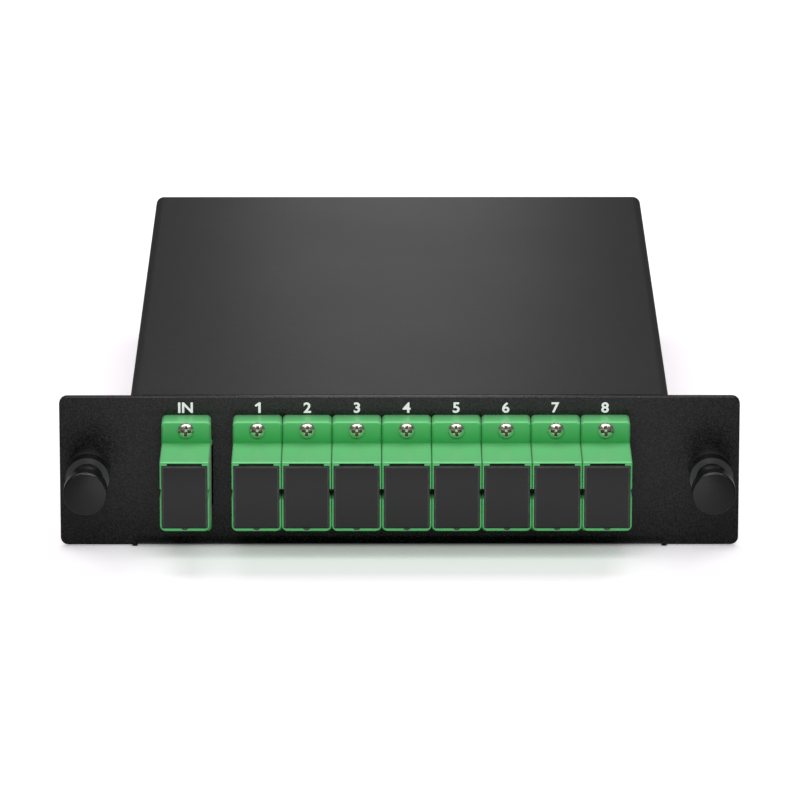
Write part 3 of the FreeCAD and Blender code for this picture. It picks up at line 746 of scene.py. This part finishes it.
class SPLITTER_OT_adapters(bpy.types.Operator):
    """Finish the adapter housings, their inserts, sleeves and nuts"""
    bl_idname = "splitter.adapters"
    bl_label = "Finish the Adapters"

    def execute(self, context):
        look = context.scene.splitter_finishes
        # painted light and shade on the housings: lighter tops and edges, darker where the flange
        # meets the nose
        green = moulded("green_housing", look.adapter_green, rough=0.33, grain=0.22 * MM,
                        rise=4 * MICRON, gloss=0.6, spread=0.06, sheen=0.15,
                        painted_light=paled, painted_light_colour=tone(look.adapter_pale, 1.0))
        white = moulded("white_moulding", look.white_plastic, rough=0.45, grain=0.3 * MM,
                        rise=5 * MICRON, gloss=0.5, spread=0.04)
        ceramic = moulded("ground_ceramic", look.ceramic, rough=0.2, grain=0.2 * MM,
                          rise=1 * MICRON, gloss=0.6, spread=0.02)
        dress(green, every("adapter"))
        dress(green, every("pigtail_plug"))
        dress(white, every("latch_inserts"))
        dress(ceramic, ["split_sleeves"])
        dress(plated("nickel_nuts", look.nickel, rough=0.25), ["adapter_nuts"])
        return {"FINISHED"}


class SPLITTER_OT_caps(bpy.types.Operator):
    """Finish the dust caps"""
    bl_idname = "splitter.caps"
    bl_label = "Finish the Dust Caps"

    def execute(self, context):
        look = context.scene.splitter_finishes
        for port in PORTS:
            # painted highlight along the edges of each cap's face
            black = moulded("cap_plastic_" + port, look.cap_black, rough=0.30, grain=0.35 * MM,
                            rise=8 * MICRON, gloss=0.5, below=crowned, painted_light=worn_edge(port))
            dress(black, ["dust_cap_" + port])
        return {"FINISHED"}


class SPLITTER_OT_latches(bpy.types.Operator):
    """Finish the push-pull latches and their bushes"""
    bl_idname = "splitter.latches"
    bl_label = "Finish the Latches"

    def execute(self, context):
        look = context.scene.splitter_finishes
        # painted light on the front of each latch's skirt
        nylon = moulded("black_nylon", look.nylon_black, rough=0.20, grain=0.5 * MM,
                        rise=8 * MICRON, gloss=0.5, below=flat_pole, painted_light=rubbed_skirt)
        bush = moulded("bush_plastic", look.bush_black, rough=0.40, grain=0.5 * MM,
                       rise=8 * MICRON, gloss=0.5)
        dress(nylon, ["latch_plunger_" + side for side in SIDES])
        dress(bush, ["latch_grommet_" + side for side in SIDES])
        return {"FINISHED"}


class SPLITTER_OT_module(bpy.types.Operator):
    """Finish the splitter module, its fibres and what holds them"""
    bl_idname = "splitter.module"
    bl_label = "Finish the Splitter Module"

    def execute(self, context):
        look = context.scene.splitter_finishes
        resin = moulded("cured_resin", look.resin, rough=0.25, grain=0.4 * MM,
                        rise=6 * MICRON, gloss=0.5)
        white = moulded("saddle_plastic", look.white_plastic, rough=0.45, grain=0.3 * MM,
                        rise=5 * MICRON, gloss=0.5, spread=0.04)
        jacket = moulded("fibre_jacket", look.fibre, rough=0.38, grain=0.4 * MM,
                         rise=4 * MICRON, gloss=0.5, spread=0.05)
        dress(plated("module_steel", look.module_steel, rough=0.3), ["splitter_case"])
        dress(resin, ["splitter_core"])
        dress(foam_tape(look), ["splitter_pad"])
        dress(white, ["fibre_saddles"])
        dress(jacket, ["input_fibre"] + ["output_fibre_" + port for port in PORTS[1:]])
        return {"FINISHED"}


class SPLITTER_OT_adapter_screws(bpy.types.Operator):
    """Model the adapters' pan-head screws with their cross recesses"""
    bl_idname = "splitter.adapter_screws"
    bl_label = "Model the Adapter Screws"

    def execute(self, context):
        sizes = context.scene.splitter_screws
        low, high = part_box("adapter_screws")
        flange = low[1] + sizes.head_height
        look = context.scene.splitter_finishes
        nickel = plated("nickel_plate", look.nickel, rough=0.16)
        # painted shade on the recess walls, and a painted highlight: a white unplated spot at the
        # recess's inner end
        painted_shade = plated("nickel_recess", look.recess, rough=0.25)
        painted_glint = plated("nickel_recess_end", look.nickel, rough=0.45, metal=0.0)
        master = self.model(sizes, flange, high[1], nickel, painted_shade, painted_glint)
        settled(master, "adapter_screw")
        turns = random.Random(SCREW_SEED)
        radius = sizes.head_width / 2
        for port in PORTS:
            axis_x = middle("dust_cap_" + port).x
            for place, axis_z in (("low", low[2] + radius), ("top", high[2] - radius)):
                screw = copied(master, "adapter_screw_" + port + "_" + place,
                               turns.uniform(-sizes.turn, sizes.turn),
                               Vector((axis_x, 0, axis_z)))
                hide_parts("adapter_screws")
                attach(screw, "cassette")
        bpy.data.objects.remove(master)
        return {"FINISHED"}

    def model(self, sizes, flange, end, nickel, painted_shade, painted_glint):
        """One screw on the y axis, from its crown to its end."""
        radius = sizes.head_width / 2
        edge = flange - sizes.head_height + sizes.head_crown
        outline = dome(radius, edge, sizes.head_crown)
        outline += [(radius, flange), (sizes.shank, flange), (sizes.shank, end), (0, end)]
        piece = turned(outline)
        crown = Vector((0, flange - sizes.head_height, 0))
        cutter = cross_cutter(sizes, crown, sizes.recess_width, painted_shade, painted_glint)
        piece.data.materials.append(nickel)
        cut(piece, cutter)
        softened(piece, sizes.edge)
        smooth(piece)
        return piece


class SPLITTER_OT_cover_screws(bpy.types.Operator):
    """Model the countersunk screws in the case's sides"""
    bl_idname = "splitter.cover_screws"
    bl_label = "Model the Cover Screws"

    def execute(self, context):
        sizes = context.scene.splitter_screws
        low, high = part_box("cover_screws")
        radius = (high[2] - low[2]) / 2
        black = context.scene.splitter_finishes.zinc_black
        zinc = plated("black_zinc", black, rough=0.35, metal=0.6)
        master = self.model(sizes, radius, zinc)
        settled(master, "cover_screw", zinc)
        for side, turn, x in (("left", -math.pi / 2, -high[0]), ("right", math.pi / 2, high[0])):
            for place, y in (("front", low[1] + radius), ("rear", high[1] - radius)):
                screw = copied(master, "cover_screw_" + side + "_" + place,
                               turn, Vector((x, y, (low[2] + high[2]) / 2)), "Z")
                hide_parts("cover_screws")
                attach(screw, "cassette")
        bpy.data.objects.remove(master)
        return {"FINISHED"}

    def model(self, sizes, radius, zinc):
        """One screw on the y axis, from its flat head to its end."""
        neck, end = sizes.cover_neck, sizes.cover_length
        outline = [(0, 0), (radius, 0), (neck, sizes.cover_head), (neck, end), (0, end)]
        piece = turned(outline)
        cut(piece, cross_cutter(sizes, Vector((0, 0, 0)), sizes.cover_recess_width, zinc, zinc))
        smooth(piece)
        return piece


class SPLITTER_OT_marks(bpy.types.Operator):
    """Print the port marks on the panel"""
    bl_idname = "splitter.marks"
    bl_label = "Print the Port Marks"

    def execute(self, context):
        sizes = context.scene.splitter_marks
        ink = mark_ink(sizes)
        ears = middle("latch_plunger_left").z
        for port in PORTS:
            x = middle("dust_cap_" + port).x
            if port == "in":
                x -= sizes.input_shift
            self.mark(port, sizes, Vector((x, PANEL_FACE, ears + sizes.rise)), ink)
        return {"FINISHED"}

    def lettered(self, word, sizes):
        """A word as a mesh, as thick as the numeral one's outline before both are scaled."""
        start_clean()
        bpy.ops.object.text_add(location=(0, 0, 0))
        text = bpy.context.object
        text.data.body = word
        text.data.align_x = "CENTER"
        text.data.extrude = ROUGH_THICK / 2
        text.data.offset = sizes.weight
        text.data.resolution_u = sizes.curve_steps
        bpy.ops.object.convert(target="MESH")
        return bpy.context.object

    def mark(self, port, sizes, place, ink):
        """A port's mark, scaled and set upright with its middle at the place."""
        piece = extruded(ONE, ROUGH_THICK) if port == "1" else self.lettered(port.upper(), sizes)
        points = [vertex.co for vertex in piece.data.vertices]
        lows = [min(p[n] for p in points) for n in range(3)]
        highs = [max(p[n] for p in points) for n in range(3)]
        centre = Vector([(a + b) / 2 for a, b in zip(lows, highs)])
        scale = sizes.height / (highs[1] - lows[1])
        shape = Matrix.Diagonal((scale * sizes.stretch, scale, sizes.paint / ROUGH_THICK, 1))
        upright = Matrix.Translation(place) @ Matrix.Rotation(math.pi / 2, 4, "X")
        piece.data.transform(upright @ shape @ Matrix.Translation(-centre))
        only(piece)
        bpy.ops.object.mode_set(mode="EDIT")
        bpy.ops.mesh.select_all(action="SELECT")
        bpy.ops.mesh.remove_doubles(threshold=SAME_INK_POINT)
        bpy.ops.mesh.normals_make_consistent(inside=False)
        bpy.ops.object.mode_set(mode="OBJECT")
        settled(piece, "mark_" + port, ink)
        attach(piece, "cassette")


class SPLITTER_OT_stage(bpy.types.Operator):
    """Lay the floor and set the lamps and the camera"""
    bl_idname = "splitter.stage"
    bl_label = "Set the Stage"

    def execute(self, context):
        studio = context.scene.splitter_studio
        self.floor(studio)
        self.world(context.scene, studio)
        self.lamps(studio)
        self.camera(context.scene, studio)
        context.scene.view_settings.view_transform = "Standard"
        return {"FINISHED"}

    def floor(self, studio):
        """The floor, just below the base."""
        start_clean()
        bpy.ops.mesh.primitive_plane_add(size=FLOOR_WIDTH, location=(0, 0, -FLOOR_GAP))
        ground = bpy.context.object
        ground.name = "floor"
        ground.data.materials.append(pale_floor(studio))

    def world(self, scene, studio):
        """Even white light from all round."""
        world = bpy.data.worlds.new("studio")
        world.use_nodes = True
        background = world.node_tree.nodes["Background"]
        background.inputs["Color"].default_value = (1.0, 1.0, 1.0, 1.0)
        background.inputs["Strength"].default_value = studio.world
        scene.world = world

    def lamps(self, studio):
        """The soft lamps."""
        for name, (place, aim, size) in LAMPS.items():
            power = getattr(studio, name + "_power")
            area_lamp(name + "_lamp", Vector(place), Vector(aim), size, power)

    def camera(self, scene, studio):
        """The camera, aimed near the middle of the panel's top edge."""
        data = bpy.data.cameras.new("camera")
        data.lens = studio.lens / MM
        data.sensor_width = SENSOR_WIDTH
        data.dof.use_dof = False
        data.clip_start, data.clip_end = CAMERA_CLIP
        down, side = studio.height_angle, studio.side_angle
        level = math.cos(down)
        look = Vector((math.sin(side) * level, math.cos(side) * level, -math.sin(down)))
        top = high_corner("front_tray").z
        aim = Vector((studio.aim_right, PANEL_FACE, top - studio.aim_drop))
        camera = bpy.data.objects.new("camera", data)
        scene.collection.objects.link(camera)
        camera.rotation_mode = "QUATERNION"
        camera.rotation_quaternion = look.to_track_quat("-Z", "Y")
        camera.location = aim - look * studio.distance
        scene.camera = camera


# --- add-on --------------------------------------------------------------------
OPERATORS = [
    SPLITTER_OT_case, SPLITTER_OT_adapters, SPLITTER_OT_caps, SPLITTER_OT_latches,
    SPLITTER_OT_module, SPLITTER_OT_adapter_screws, SPLITTER_OT_cover_screws,
    SPLITTER_OT_marks, SPLITTER_OT_stage,
]


class SPLITTER_PT_tools(bpy.types.Panel):
    """Steps that dress the splitter cassette"""
    bl_idname = "SPLITTER_PT_tools"
    bl_label = "Splitter Cassette"
    bl_space_type = "VIEW_3D"
    bl_region_type = "UI"
    bl_category = "Splitter"

    def draw(self, context):
        for operator in OPERATORS:
            self.layout.operator(operator.bl_idname)
        for group in GROUPS:
            box = self.layout.box()
            settings = getattr(context.scene, group)
            for key in settings.bl_rna.properties.keys():
                if key not in ("rna_type", "name"):
                    box.prop(settings, key)


CLASSES = [*GROUPS.values(), *OPERATORS, SPLITTER_PT_tools]


def register():
    for made in CLASSES:
        bpy.utils.register_class(made)
    for name, group in GROUPS.items():
        setattr(bpy.types.Scene, name, bpy.props.PointerProperty(type=group))


def unregister():
    for name in GROUPS:
        delattr(bpy.types.Scene, name)
    for made in reversed(CLASSES):
        bpy.utils.unregister_class(made)


def main():
    """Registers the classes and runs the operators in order."""
    register()
    for operator in OPERATORS:
        group, name = operator.bl_idname.split(".")
        getattr(getattr(bpy.ops, group), name)()


if __name__ == "__main__":
    main()
